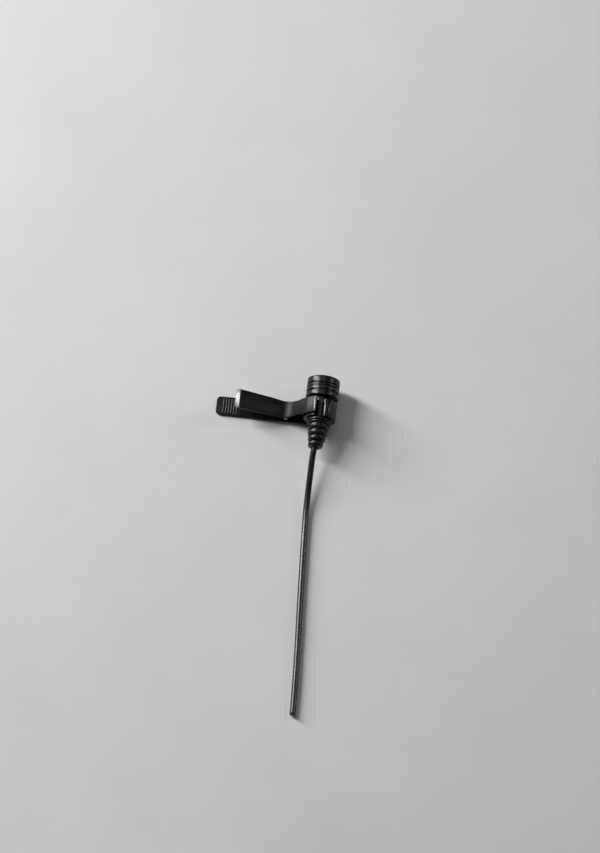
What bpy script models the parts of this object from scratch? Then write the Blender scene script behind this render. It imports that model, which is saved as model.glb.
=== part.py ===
"""Lavalier microphone: an electret capsule in a ribbed head, held by a sprung collar on a pinch clip.

Frame: metres, +X along the clip from the finger end to the jaws, +Y along the microphone from the
cord to the sound head, +Z up from the face that the clip rests on. Lengths below are in
millimetres. Places along X and Y are measured from the microphone's axis and the collar's middle,
and are moved so that the origin lies under the middle of everything but the cord.
"""

import math

import bmesh
import bpy
from mathutils import Matrix, Vector

MM = 0.001
GAP = 0.3                    # clearance kept between pieces that touch

# Microphone, turned about its own axis
AXIS_HEIGHT = 6.8
HEAD_RADIUS = 5.85
HEAD_FRONT = 12.0
HEAD_REAR = 4.7
HEAD_BORE = 5.2
HEAD_FACE_THICKNESS = 0.8
GROOVES = (                  # y, width and depth of each groove in the head, front to rear
    (9.35, 0.28, 0.4),
    (8.28, 0.22, 0.25),
    (6.65, 0.50, 0.45),
)
SOUND_HOLE_RADIUS = 0.55
SOUND_HOLE_CIRCLE = 2.6
SHELL_RADIUS = 3.95
SHELL_BORE = 3.35
SHELL_FLANGE = 4.9
SHELL_FLANGE_REAR = 4.95
SHELL_FRONT = 6.0
SHELL_REAR = -3.3
SHELL_WALL = 0.8
SHELL_CORD_HOLE = 2.25

# Strain relief and cord
BOOT_START = -3.6
BOOT_END = -13.6
BOOT_BASE_RADIUS = 4.6
BOOT_BASE_END = -4.15
BOOT_RADIUS_START = 4.3
BOOT_RADIUS_END = 2.45
BOOT_BORE = 1.55
BOOT_NECK = 1.95
BOOT_FLANGE = 3.0
BOOT_LEAN = 0.4              # sideways drift of the boot's tip
BOOT_GROOVES = (-5.45, -7.6, -9.8, -11.85)
BOOT_GROOVE_DEPTH = 0.55
CORD_RADIUS = 1.1
CORD_POINTS = 27
CORD_ROUTE = (               # x, y, z of the cord's centre, from inside the shell to its cut end
    (0.0, -0.5, 6.8),
    (0.0, -5.0, 6.8),
    (-0.18, -9.5, 6.75),
    (-0.62, -13.6, 6.4),
    (-0.92, -18.0, 5.4),
    (-1.0, -24.5, 3.65),
    (-1.05, -30.6, 2.15),
    (-1.0, -36.5, 1.35),
    (-0.75, -42.5, 1.1),
    (-0.46, -48.6, 1.1),
    (0.19, -60.7, 1.1),
    (0.87, -72.9, 1.1),
    (1.62, -85.0, 1.1),
    (2.27, -97.2, 1.1),
    (2.7, -107.5, 1.1),
    (2.9, -112.9, 1.1),
)

# Capsule
CAN_RADIUS = 4.2
CAN_WALL = 0.3
CAN_FRONT = 9.9
CAN_REAR = 6.3
STACK_RADIUS = 3.75

# Clip
SHEET = 0.6
FINGER_END = -37.5
JAW_END = 3.6
LOWER_SHEET = 0.8
LOWER_HALF_WIDTH = 3.45
PAD_CORNER = 1.6
PAD_RIDGE_COUNT = 6
PAD_RIDGE_PITCH = 0.96
PAD_RIDGE_START = -34.8
PAD_RIDGE_HEIGHT = 0.22
JAW_RIDGE_OFFSETS = (-2.7, 2.7)
JAW_RIDGE_HEIGHT = 0.45
PIN_X = -12.24
PIN_HEIGHT = 1.95
PIN_RADIUS = 0.45
PIN_HOLE = 0.58
PIN_HALF_LENGTH = 3.2
PIN_HEAD_RADIUS = 0.8
EAR_RADIUS = 0.98
UPPER_EAR_OUTER = 2.85
LOWER_EAR_OUTER = 1.95
UPPER_START = (-30.6, 9.5)   # x and height of the upper lever's top face at its lip
UPPER_START_ANGLE = 25.2     # degrees above the horizontal
UPPER_BENDS = (              # straight run, then radius and turn in degrees of the bend that follows it
    (1.66, 0.5, -48.1),      # lip
    (15.84, 3.0, 52.9),      # finger plate, sloping down to the fold
    (0.0, 6.0, 20.0),
    (6.4, 8.0, -12.0),       # riser
    (2.9, 0.9, -50.0),       # strap over the collar, its end curled down
)
UPPER_WIDTHS = (             # x and half-width of the upper lever
    (-30.6, 3.45),
    (-29.1, 3.5),
    (-18.0, 3.35),
    (-12.2, 3.05),
    (-9.8, 2.75),
    (-8.3, 2.6),
    (-6.4, 2.85),
    (-5.0, 3.0),
    (-1.35, 3.0),
)
UPPER_EAR_TOP = 3.65
UPPER_CORNER = 0.6
CLIP_Y = 0.6                 # middle of both levers
COLLAR_RADIUS = 5.7
COLLAR_BORE = 4.2
COLLAR_HALF_LENGTH = 3.3
COLLAR_ENDS = (11.0, 341.0)  # degrees from the top, clockwise seen from the cord, of the C's ends
BEAD_CENTRE = (2.3, 10.43)   # x and z of the bead along the collar's free end
BEAD_RADIUS = 1.75

# Torsion spring
WIRE_RADIUS = 0.16
COIL_RADIUS = 0.77
COIL_TURNS = 3.5
COIL_PITCH = 0.5
SPRING_LEG = 7.0
SPRING_LEG_RISE = 12.0       # degrees between the two legs when the clip is closed

# The frame's origin lies under the middle of the clip and the microphone
MIC_X = -(FINGER_END + HEAD_RADIUS) / 2
MIC_Y = -(HEAD_FRONT + BOOT_END) / 2


def place(x, y, z):
    """A point measured from the microphone's axis, in the frame's metres."""
    return Vector((x + MIC_X, y + MIC_Y, z)) * MM


def make_material(name, colour, roughness, metallic=0.0):
    material = bpy.data.materials.new(name)
    material.use_nodes = True
    shader = material.node_tree.nodes["Principled BSDF"]
    shader.inputs["Base Color"].default_value = (*colour, 1.0)
    shader.inputs["Roughness"].default_value = roughness
    shader.inputs["Metallic"].default_value = metallic
    material.diffuse_color = (*colour, 1.0)
    return material


def make_empty(name, location, parent=None):
    empty = bpy.data.objects.new(name, None)
    empty.empty_display_size = 2 * MM
    bpy.context.collection.objects.link(empty)
    empty.location = location
    empty.parent = parent
    if parent:
        empty.location = location - parent.matrix_world.translation
    bpy.context.view_layer.update()
    return empty


def make_piece(name, bm, material, parent):
    """Turn a mesh built in the frame's metres into an object that hangs on its joint's empty."""
    bmesh.ops.remove_doubles(bm, verts=bm.verts, dist=1e-7)
    bmesh.ops.recalc_face_normals(bm, faces=bm.faces)
    bmesh.ops.translate(bm, verts=bm.verts, vec=-parent.matrix_world.translation)
    mesh = bpy.data.meshes.new(name)
    bm.to_mesh(mesh)
    bm.free()
    mesh.shade_smooth()
    mesh.set_sharp_from_angle(angle=math.radians(35))
    mesh.materials.append(material)
    piece = bpy.data.objects.new(name, mesh)
    bpy.context.collection.objects.link(piece)
    piece.parent = parent
    return piece


def as_guide(piece):
    piece.hide_render = True
    piece.display_type = "WIRE"
    return piece


def add_boolean(piece, other, operation):
    modifier = piece.modifiers.new(other.name, "BOOLEAN")
    modifier.operation = operation
    modifier.solver = "EXACT"
    modifier.object = other


def turned(name, profile, material, parent, steps=40, closed=True):
    """Spin an outline of (y, radius) points about the microphone's axis.

    A closed outline gives a ring. An open one starts and ends on the axis and gives a solid.
    """
    bm = bmesh.new()
    verts = [bm.verts.new(place(radius, y, AXIS_HEIGHT)) for y, radius in profile]
    pairs = list(zip(verts, verts[1:]))
    if closed:
        pairs.append((verts[-1], verts[0]))
    edges = [bm.edges.new(pair) for pair in pairs]
    bmesh.ops.spin(
        bm,
        geom=verts + edges,
        cent=place(0, 0, AXIS_HEIGHT),
        axis=(0, 1, 0),
        angle=math.tau,
        steps=steps,
        use_merge=True,
    )
    return make_piece(name, bm, material, parent)


def disc(name, front, rear, radius, material, parent, steps=32):
    profile = [(front, 0), (front, radius), (rear, radius), (rear, 0)]
    return turned(name, profile, material, parent, steps, closed=False)


def ring(name, front, rear, outer, inner, material, parent, steps=32):
    profile = [(front, inner), (front, outer), (rear, outer), (rear, inner)]
    return turned(name, profile, material, parent, steps)


def cylinder(name, start, end, radius, material, parent, steps=20):
    """A round bar between two points of the frame."""
    bm = bmesh.new()
    axis = end - start
    turn = Vector((0, 0, 1)).rotation_difference(axis).to_matrix().to_4x4()
    bmesh.ops.create_cone(
        bm,
        cap_ends=True,
        segments=steps,
        radius1=radius * MM,
        radius2=radius * MM,
        depth=axis.length,
        matrix=Matrix.Translation((start + end) / 2) @ turn,
    )
    return make_piece(name, bm, material, parent)


def sheet_outline(name, outline, y_low, y_high, material, parent):
    """A flat outline of (x, z) points, extruded across the clip."""
    bm = bmesh.new()
    face = bm.faces.new([bm.verts.new(place(x, y_low, z)) for x, z in outline])
    extruded = bmesh.ops.extrude_face_region(bm, geom=[face])["geom"]
    moved = [item for item in extruded if isinstance(item, bmesh.types.BMVert)]
    bmesh.ops.translate(bm, verts=moved, vec=Vector((0, y_high - y_low, 0)) * MM)
    return make_piece(name, bm, material, parent)


def subdivided(points, longest):
    """The same line with extra points, so that no step is longer than the given length."""
    result = [points[0]]
    for start, end in zip(points, points[1:]):
        count = max(1, math.ceil((end - start).length / longest))
        result += [start.lerp(end, step / count) for step in range(1, count + 1)]
    return result


def between(table, x):
    """Read a value from a table of (x, value) rows, straight between rows."""
    if x <= table[0][0]:
        return table[0][1]
    for (x0, v0), (x1, v1) in zip(table, table[1:]):
        if x <= x1:
            return v0 + (v1 - v0) * (x - x0) / (x1 - x0)
    return table[-1][1]


def bent_strip(name, line, half_widths, material, parent):
    """Sheet metal whose top face follows a line in the X-Z plane."""
    bm = bmesh.new()
    rows = []
    for index, point in enumerate(line):
        before = line[max(index - 1, 0)]
        after = line[min(index + 1, len(line) - 1)]
        along = (after - before).normalized()
        other = point - Vector((-along.y, along.x)) * SHEET
        half = half_widths[index]
        row = [
            place(point.x, CLIP_Y + half, point.y),
            place(point.x, CLIP_Y - half, point.y),
            place(other.x, CLIP_Y - half, other.y),
            place(other.x, CLIP_Y + half, other.y),
        ]
        rows.append([bm.verts.new(corner) for corner in row])
    for first, second in zip(rows, rows[1:]):
        for side_index in range(4):
            following = (side_index + 1) % 4
            bm.faces.new((first[side_index], first[following], second[following], second[side_index]))
    bm.faces.new(rows[0])
    bm.faces.new(rows[-1])
    return make_piece(name, bm, material, parent)


def smooth_route(points, count):
    """Evenly spaced points on a smooth curve through the given ones."""
    points = [Vector(point) for point in points]
    points = [2 * points[0] - points[1], *points, 2 * points[-1] - points[-2]]
    dense = []
    for p0, p1, p2, p3 in zip(points, points[1:], points[2:], points[3:]):
        for step in range(24):
            t = step / 24
            dense.append(0.5 * (
                2 * p1
                + (p2 - p0) * t
                + (2 * p0 - 5 * p1 + 4 * p2 - p3) * t ** 2
                + (3 * p1 - p0 - 3 * p2 + p3) * t ** 3
            ))
    dense.append(points[-2])
    lengths = [0.0]
    for start, end in zip(dense, dense[1:]):
        lengths.append(lengths[-1] + (end - start).length)
    result = []
    for step in range(count):
        wanted = lengths[-1] * step / (count - 1)
        index = min(sum(length < wanted for length in lengths[1:]), len(dense) - 2)
        share = (wanted - lengths[index]) / (lengths[index + 1] - lengths[index])
        result.append(dense[index].lerp(dense[index + 1], share))
    return result


def wire(name, points, radius, material, parent, resolution=2):
    """A round wire or cord along points measured from the microphone's axis."""
    curve = bpy.data.curves.new(name, "CURVE")
    curve.dimensions = "3D"
    curve.bevel_depth = radius * MM
    curve.bevel_resolution = resolution
    curve.render_resolution_u = 0
    curve.use_fill_caps = True
    spline = curve.splines.new("POLY")
    spline.points.add(len(points) - 1)
    for target, point in zip(spline.points, points):
        target.co = (*(place(*point) - parent.matrix_world.translation), 1.0)
    curve.materials.append(material)
    piece = bpy.data.objects.new(name, curve)
    bpy.context.collection.objects.link(piece)
    piece.parent = parent
    return piece


def head_profile():
    """The head's outline: ribbed outside, plain bore, closed front."""
    chamfer = 0.35
    outline = [
        (HEAD_FRONT - HEAD_FACE_THICKNESS, 0),
        (HEAD_FRONT - HEAD_FACE_THICKNESS, HEAD_BORE),
        (HEAD_REAR, HEAD_BORE),
        (HEAD_REAR, HEAD_RADIUS - 0.15),
        (HEAD_REAR + 0.15, HEAD_RADIUS),
    ]
    for y, width, depth in reversed(GROOVES):
        outline += [
            (y - width / 2 - 0.08, HEAD_RADIUS),
            (y - width / 4, HEAD_RADIUS - depth),
            (y + width / 4, HEAD_RADIUS - depth),
            (y + width / 2 + 0.08, HEAD_RADIUS),
        ]
    outline += [
        (HEAD_FRONT - chamfer, HEAD_RADIUS),
        (HEAD_FRONT - chamfer * 0.3, HEAD_RADIUS - chamfer * 0.3),
        (HEAD_FRONT, HEAD_RADIUS - chamfer),
        (HEAD_FRONT, 0),
    ]
    return outline


def build_head(mic, materials):
    cap = turned("head_cap", head_profile(), materials["head"], mic, closed=False)
    centres = [(0.0, 0.0)]
    for step in range(6):
        angle = math.tau * step / 6
        centres.append((SOUND_HOLE_CIRCLE * math.cos(angle), SOUND_HOLE_CIRCLE * math.sin(angle)))
    for index, (x, z) in enumerate(centres):
        start = place(x, HEAD_FRONT - HEAD_FACE_THICKNESS - 1, AXIS_HEIGHT + z)
        end = place(x, HEAD_FRONT + 1, AXIS_HEIGHT + z)
        cutter = cylinder(f"sound_hole_{index}", start, end, SOUND_HOLE_RADIUS, materials["head"], mic, 12)
        add_boolean(cap, as_guide(cutter), "DIFFERENCE")
    disc("front_screen", 11.1, 10.95, HEAD_BORE - 0.25, materials["screen"], mic)
    disc("dust_felt", 10.85, 10.1, HEAD_BORE - 0.3, materials["felt"], mic)


def build_capsule(mic, materials):
    ring("capsule_sleeve", 9.75, 6.25, 4.95, CAN_RADIUS + 0.2, materials["rubber"], mic)
    inner = CAN_RADIUS - CAN_WALL
    can = [
        (CAN_FRONT, 1.0),
        (CAN_FRONT, CAN_RADIUS - 0.2),
        (CAN_FRONT - 0.2, CAN_RADIUS),
        (CAN_REAR, CAN_RADIUS),
        (CAN_REAR, inner - 0.6),
        (CAN_REAR + 0.2, inner - 0.6),
        (CAN_REAR + 0.2, inner),
        (CAN_FRONT - CAN_WALL, inner),
        (CAN_FRONT - CAN_WALL, 1.0),
    ]
    turned("capsule_can", can, materials["aluminium"], mic, 32)
    ring("diaphragm_ring", 9.45, 9.1, STACK_RADIUS, 3.0, materials["brass"], mic)
    disc("diaphragm", 9.0, 8.92, STACK_RADIUS, materials["film"], mic)
    ring("spacer_ring", 8.82, 8.66, STACK_RADIUS, 3.1, materials["plastic"], mic)
    plate = disc("backplate", 8.5, 8.15, 3.1, materials["brass"], mic)
    for step in range(4):
        angle = math.tau * step / 4
        x, z = 1.7 * math.cos(angle), AXIS_HEIGHT + 1.7 * math.sin(angle)
        cutter = cylinder(f"backplate_hole_{step}", place(x, 8, z), place(x, 9, z), 0.35,
                          materials["brass"], mic, 8)
        add_boolean(plate, as_guide(cutter), "DIFFERENCE")
    holder = [(8.5, 3.3), (8.5, STACK_RADIUS), (7.2, STACK_RADIUS), (7.2, 2.6), (8.0, 2.6), (8.0, 3.3)]
    turned("backplate_holder", holder, materials["plastic"], mic, 32)
    disc("capsule_board", 7.05, 6.65, 3.65, materials["board"], mic)
    outline = [(-0.8, AXIS_HEIGHT - 0.6), (0.8, AXIS_HEIGHT - 0.6),
               (0.8, AXIS_HEIGHT + 0.6), (-0.8, AXIS_HEIGHT + 0.6)]
    sheet_outline("field_effect_transistor", outline, 7.15, 7.95, materials["plastic"], mic)
    for name, x in (("solder_pad_signal", 1.4), ("solder_pad_ground", -1.4)):
        start, end = place(x, 6.27, AXIS_HEIGHT), place(x, 6.55, AXIS_HEIGHT)
        cylinder(name, start, end, 0.6, materials["solder"], mic, 14)


def build_body(mic, materials):
    shell = [
        (SHELL_FRONT, SHELL_BORE),
        (SHELL_FRONT, SHELL_FLANGE),
        (SHELL_FLANGE_REAR, SHELL_FLANGE),
        (SHELL_FLANGE_REAR, SHELL_RADIUS),
        (SHELL_REAR + 0.3, SHELL_RADIUS),
        (SHELL_REAR, SHELL_RADIUS - 0.3),
        (SHELL_REAR, SHELL_CORD_HOLE),
        (SHELL_REAR + SHELL_WALL, SHELL_CORD_HOLE),
        (SHELL_REAR + SHELL_WALL, SHELL_BORE),
    ]
    turned("body_shell", shell, materials["head"], mic)
    ring("cable_crimp", -0.6, -1.4, 1.9, 1.4, materials["brass"], mic, 20)
    for name, side in (("signal_wire", 1), ("ground_wire", -1)):
        route = [
            (side * 1.4, 6.0, AXIS_HEIGHT),
            (side * 1.5, 4.6, AXIS_HEIGHT + 0.3),
            (side * 1.2, 2.6, AXIS_HEIGHT + 0.5),
            (side * 0.7, 1.0, AXIS_HEIGHT + 0.2),
            (side * 0.45, -0.1, AXIS_HEIGHT),
        ]
        colour = "red" if side > 0 else "white"
        wire(name, smooth_route(route, 14), 0.22, materials[colour], mic, 1)


def boot_outline():
    """(y, radius) points of the boot: flange, neck, then ribs that taper to the tip, then the bore."""
    flange_front = SHELL_REAR + SHELL_WALL + GAP + 0.5
    flange_rear = SHELL_REAR + SHELL_WALL + GAP
    outline = [
        (flange_front, BOOT_BORE),
        (flange_front, BOOT_FLANGE),
        (flange_rear, BOOT_FLANGE),
        (flange_rear, BOOT_NECK),
        (BOOT_START, BOOT_NECK),
        (BOOT_START, BOOT_BASE_RADIUS),
        (BOOT_BASE_END, BOOT_BASE_RADIUS),
        (BOOT_BASE_END, BOOT_RADIUS_START - 0.3),
        (BOOT_BASE_END - 0.2, BOOT_RADIUS_START),
    ]
    for groove in BOOT_GROOVES:
        share = (groove - BOOT_START) / (BOOT_END - BOOT_START)
        radius = BOOT_RADIUS_START + (BOOT_RADIUS_END - BOOT_RADIUS_START) * share
        outline += [
            (groove + 0.22, radius),
            (groove + 0.08, radius - BOOT_GROOVE_DEPTH),
            (groove - 0.08, radius - BOOT_GROOVE_DEPTH),
            (groove - 0.22, radius),
        ]
    outline += [
        (BOOT_END + 0.25, BOOT_RADIUS_END),
        (BOOT_END, BOOT_RADIUS_END - 0.25),
        (BOOT_END, BOOT_BORE),
    ]
    steps = 5
    for step in range(1, steps):
        outline.append((BOOT_END + (flange_front - BOOT_END) * step / steps, BOOT_BORE))
    return outline


def build_strain_relief(mic, materials):
    boot = turned("strain_relief", boot_outline(), materials["rubber"], mic, 28)
    reach = (BOOT_START - BOOT_END) * MM
    for vertex in boot.data.vertices:
        past = max(0.0, (BOOT_START * MM - vertex.co.y) / reach)
        vertex.co.x -= BOOT_LEAN * MM * past ** 2
        vertex.co.z -= BOOT_LEAN * MM * past ** 2
    wire("cable", smooth_route(CORD_ROUTE, CORD_POINTS), CORD_RADIUS, materials["cord"], mic, 2)


def arc(centre, radius, first, last, steps):
    """Points on a circle between two angles in degrees, counted from +X towards +Z."""
    points = []
    for step in range(steps + 1):
        angle = math.radians(first + (last - first) * step / steps)
        points.append((centre[0] + radius * math.cos(angle), centre[1] + radius * math.sin(angle)))
    return points


def make_ear(name, side, outer, base, material, parent):
    """An ear around the pin: half round at one end, straight sides up or down to the lever."""
    inner = outer - SHEET
    low, high = sorted((CLIP_Y + side * inner, CLIP_Y + side * outer))
    if base > PIN_HEIGHT:
        outline = arc((PIN_X, PIN_HEIGHT), EAR_RADIUS, 180, 360, 12)
    else:
        outline = arc((PIN_X, PIN_HEIGHT), EAR_RADIUS, 0, 180, 12)
    first_x, last_x = outline[0][0], outline[-1][0]
    flare = 0.25
    sign = 1 if last_x > first_x else -1
    outline += [(last_x + sign * flare, base), (first_x - sign * flare, base)]
    return as_guide(sheet_outline(name, outline, low, high, material, parent))


def bent_line(start, angle, bends, step):
    """Points of a line in the X-Z plane made of straight runs, each followed by a round bend."""
    point = Vector(start)
    heading = math.radians(angle)
    line = [point.copy()]
    for run, radius, turn in bends:
        if run:
            point += run * Vector((math.cos(heading), math.sin(heading)))
            line.append(point.copy())
        count = max(3, math.ceil(math.radians(abs(turn)) * radius / step))
        share = math.radians(turn) / count
        chord = 2 * radius * math.sin(abs(share) / 2)
        for _ in range(count):
            middle = heading + share / 2
            point += chord * Vector((math.cos(middle), math.sin(middle)))
            heading += share
            line.append(point.copy())
    return line


def build_upper_lever(upper, materials):
    line = subdivided(bent_line(UPPER_START, UPPER_START_ANGLE, UPPER_BENDS, 0.6), 1.6)
    ends = []
    for near, far in ((line[0], line[1]), (line[-1], line[-2])):
        along = (far - near).normalized()
        ends.append([near + along * UPPER_CORNER * share for share in (0.1, 0.3, 0.6)])
    line = [line[0], *ends[0], *line[1:-1], *reversed(ends[1]), line[-1]]
    half_widths = []
    for point in line:
        half = between(UPPER_WIDTHS, point.x)
        inset = min((point - line[0]).length, (point - line[-1]).length)
        short = max(UPPER_CORNER - inset, 0.0)
        half_widths.append(half - UPPER_CORNER + math.sqrt(UPPER_CORNER ** 2 - short ** 2))
    lever = bent_strip("upper_lever", line, half_widths, materials["clip"], upper)
    for side in (-1, 1):
        name = f"upper_ear_{side + 1}"
        ear = make_ear(name, side, UPPER_EAR_OUTER, UPPER_EAR_TOP, materials["clip"], upper)
        add_boolean(lever, ear, "UNION")
    add_boolean(lever, pin_hole(upper, materials, "upper_pin_hole"), "DIFFERENCE")


def pin_hole(parent, materials, name):
    start, end = place(PIN_X, -5, PIN_HEIGHT), place(PIN_X, 5, PIN_HEIGHT)
    return as_guide(cylinder(name, start, end, PIN_HOLE, materials["clip"], parent, 20))


def build_collar(upper, materials):
    """A thick C round the microphone's shell, open at the top, with a bead along its free end."""
    centre = Vector((0.0, AXIS_HEIGHT))
    bead = Vector(BEAD_CENTRE)
    reach = bead - centre
    share = (COLLAR_RADIUS ** 2 - BEAD_RADIUS ** 2 + reach.length_squared) / (2 * reach.length)
    towards_bead = math.degrees(math.atan2(reach.x, reach.y))
    joint = towards_bead + math.degrees(math.acos(share / COLLAR_RADIUS))
    free_end, held_end = COLLAR_ENDS
    outline = arc(centre, COLLAR_RADIUS, 90 - joint, 90 - held_end, 36)
    outline += arc(centre, COLLAR_BORE, 90 - held_end, 90 - free_end, 32)
    meeting = Vector(outline[0]) - bead
    outline += arc(bead, BEAD_RADIUS, 158, math.degrees(math.atan2(meeting.y, meeting.x)), 10)[:-1]
    sheet_outline("collar", outline, -COLLAR_HALF_LENGTH, COLLAR_HALF_LENGTH, materials["collar"], upper)


def build_lower_lever(lower, materials):
    half = LOWER_HALF_WIDTH
    bm = bmesh.new()
    outline = []
    for x, y, first in (
        (FINGER_END + PAD_CORNER, half - PAD_CORNER, 90),
        (FINGER_END + PAD_CORNER, -half + PAD_CORNER, 180),
        (JAW_END - 0.8, -half + 0.8, 270),
        (JAW_END - 0.8, half - 0.8, 0),
    ):
        radius = PAD_CORNER if x < 0 else 0.8
        outline += arc((x, y), radius, first, first + 90, 6)
    face = bm.faces.new([bm.verts.new(place(x, CLIP_Y + y, 0)) for x, y in outline])
    extruded = bmesh.ops.extrude_face_region(bm, geom=[face])["geom"]
    moved = [item for item in extruded if isinstance(item, bmesh.types.BMVert)]
    bmesh.ops.translate(bm, verts=moved, vec=Vector((0, 0, LOWER_SHEET)) * MM)
    lever = make_piece("lower_lever", bm, materials["clip"], lower)
    ridges = []
    for step in range(PAD_RIDGE_COUNT):
        ridges.append((PAD_RIDGE_START + step * PAD_RIDGE_PITCH, PAD_RIDGE_HEIGHT, 0.28, half - 0.35))
    for offset in JAW_RIDGE_OFFSETS:
        ridges.append((offset, JAW_RIDGE_HEIGHT, 0.35, half - 0.3))
    for index, (x, height, width, reach) in enumerate(ridges):
        sunk = LOWER_SHEET - 0.3
        top = LOWER_SHEET + height
        section = [(x - width, sunk), (x + width, sunk), (x + width, LOWER_SHEET + height * 0.3),
                   (x + width * 0.4, top), (x - width * 0.4, top), (x - width, LOWER_SHEET + height * 0.3)]
        ridge = sheet_outline(f"ridge_{index}", section, CLIP_Y - reach, CLIP_Y + reach,
                              materials["clip"], lower)
        add_boolean(lever, as_guide(ridge), "UNION")
    for side in (-1, 1):
        ear = make_ear(f"lower_ear_{side + 1}", side, LOWER_EAR_OUTER, LOWER_SHEET - 0.3,
                       materials["clip"], lower)
        add_boolean(lever, ear, "UNION")
    add_boolean(lever, pin_hole(lower, materials, "lower_pin_hole"), "DIFFERENCE")


def build_pin(lower, materials):
    """A pin whose two ends are peened into low domes outside the upper lever's ears."""
    face = UPPER_EAR_OUTER + 0.12
    half_profile = [
        (0.0, PIN_RADIUS),
        (face, PIN_RADIUS),
        (face, PIN_HEAD_RADIUS),
        (face + 0.15, PIN_HEAD_RADIUS - 0.1),
        (PIN_HALF_LENGTH, PIN_HEAD_RADIUS - 0.4),
        (PIN_HALF_LENGTH, 0.0),
    ]
    profile = [(-y, radius) for y, radius in reversed(half_profile)] + half_profile[1:]
    bm = bmesh.new()
    verts = [bm.verts.new(place(PIN_X + radius, CLIP_Y + y, PIN_HEIGHT)) for y, radius in profile]
    edges = [bm.edges.new(pair) for pair in zip(verts, verts[1:])]
    bmesh.ops.spin(
        bm,
        geom=verts + edges,
        cent=place(PIN_X, 0, PIN_HEIGHT),
        axis=(0, 1, 0),
        angle=math.tau,
        steps=20,
        use_merge=True,
    )
    make_piece("hinge_pin", bm, materials["steel"], lower)


def build_spring(lower, materials):
    """A torsion spring round the pin: one leg lies on the lower lever, one under the upper."""
    points = []
    coil_start = CLIP_Y - COIL_TURNS * COIL_PITCH / 2
    low = PIN_HEIGHT - COIL_RADIUS
    for step in range(5, 0, -1):
        points.append((PIN_X - SPRING_LEG * step / 5, coil_start, low))
    sides = 14
    slope = math.radians(SPRING_LEG_RISE)
    turns = COIL_TURNS - slope / math.tau
    count = round(turns * sides)
    for step in range(count + 1):
        angle = math.tau * turns * step / count
        x = PIN_X + COIL_RADIUS * math.sin(angle)
        z = PIN_HEIGHT - COIL_RADIUS * math.cos(angle)
        points.append((x, coil_start + COIL_PITCH * turns * step / count, z))
    end = Vector(points[-1])
    direction = Vector((-math.cos(slope), 0, math.sin(slope)))
    for step in range(1, 6):
        points.append(tuple(end + direction * SPRING_LEG * step / 5))
    wire("torsion_spring", points, WIRE_RADIUS, materials["steel"], lower, 1)


def main():
    for item in list(bpy.data.objects):
        bpy.data.objects.remove(item, do_unlink=True)
    materials = {
        "head": make_material("head_black", (0.018, 0.018, 0.02), 0.38, 0.4),
        "clip": make_material("clip_black", (0.022, 0.023, 0.026), 0.36, 0.7),
        "collar": make_material("collar_black", (0.03, 0.032, 0.038), 0.3, 0.8),
        "rubber": make_material("boot_rubber", (0.018, 0.018, 0.018), 0.5),
        "cord": make_material("cord_jacket", (0.02, 0.02, 0.02), 0.45),
        "steel": make_material("spring_steel", (0.45, 0.45, 0.46), 0.3, 1.0),
        "screen": make_material("screen_mesh", (0.25, 0.25, 0.26), 0.45, 0.9),
        "felt": make_material("dust_felt", (0.03, 0.03, 0.03), 0.95),
        "aluminium": make_material("capsule_aluminium", (0.78, 0.78, 0.8), 0.35, 1.0),
        "brass": make_material("capsule_brass", (0.75, 0.58, 0.28), 0.32, 1.0),
        "film": make_material("diaphragm_film", (0.7, 0.62, 0.45), 0.25, 0.8),
        "plastic": make_material("insulator", (0.75, 0.73, 0.68), 0.5),
        "board": make_material("circuit_board", (0.04, 0.2, 0.08), 0.5),
        "solder": make_material("solder", (0.62, 0.63, 0.65), 0.3, 1.0),
        "red": make_material("wire_red", (0.5, 0.03, 0.03), 0.45),
        "white": make_material("wire_white", (0.75, 0.75, 0.72), 0.45),
    }
    lower = make_empty("clip_base", place(PIN_X, CLIP_Y, PIN_HEIGHT))
    upper = make_empty("clip_hinge", place(PIN_X, CLIP_Y, PIN_HEIGHT))
    mic = make_empty("mic_turn", place(0, 0, AXIS_HEIGHT), upper)
    build_lower_lever(lower, materials)
    build_pin(lower, materials)
    build_spring(lower, materials)
    build_upper_lever(upper, materials)
    build_collar(upper, materials)
    build_head(mic, materials)
    build_capsule(mic, materials)
    build_body(mic, materials)
    build_strain_relief(mic, materials)


main()
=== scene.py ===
"""Lavalier microphone, detailed: the pieces that show get finer meshes and every piece a material.

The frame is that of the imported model: metres, +X along the clip towards the jaws, +Y along the
microphone towards the sound head, +Z up. Lengths below are in millimetres. Places along X and Y
are measured from the microphone's axis and the collar's middle.
"""

import math

import bmesh
import bpy
from mathutils import Matrix, Vector


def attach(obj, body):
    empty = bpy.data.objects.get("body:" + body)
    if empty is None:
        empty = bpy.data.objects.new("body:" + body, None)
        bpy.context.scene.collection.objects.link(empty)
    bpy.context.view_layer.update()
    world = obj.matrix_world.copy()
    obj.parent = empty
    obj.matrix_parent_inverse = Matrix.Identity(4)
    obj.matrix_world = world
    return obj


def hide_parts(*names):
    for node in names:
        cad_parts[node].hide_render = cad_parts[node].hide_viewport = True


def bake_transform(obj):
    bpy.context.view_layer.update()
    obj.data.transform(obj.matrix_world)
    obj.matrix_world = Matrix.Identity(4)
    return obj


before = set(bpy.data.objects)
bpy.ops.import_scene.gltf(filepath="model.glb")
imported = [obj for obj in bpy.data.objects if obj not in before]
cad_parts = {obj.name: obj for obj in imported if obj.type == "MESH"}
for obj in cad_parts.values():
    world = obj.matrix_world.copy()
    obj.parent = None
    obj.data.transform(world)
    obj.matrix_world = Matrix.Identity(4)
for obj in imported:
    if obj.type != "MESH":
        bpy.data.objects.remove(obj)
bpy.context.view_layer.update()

MM = 0.001
MIC_X = 15.825
MIC_Y = 0.8
AXIS_HEIGHT = 6.8
SMOOTH_ANGLE = math.radians(32)
SHARP_ANGLE = math.radians(40)     # edges sharper than this are rounded
MERGE_DISTANCE = 1e-7              # metres
FILLET_SHARE = 0.48                # the most of a side that one rounding takes
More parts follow.
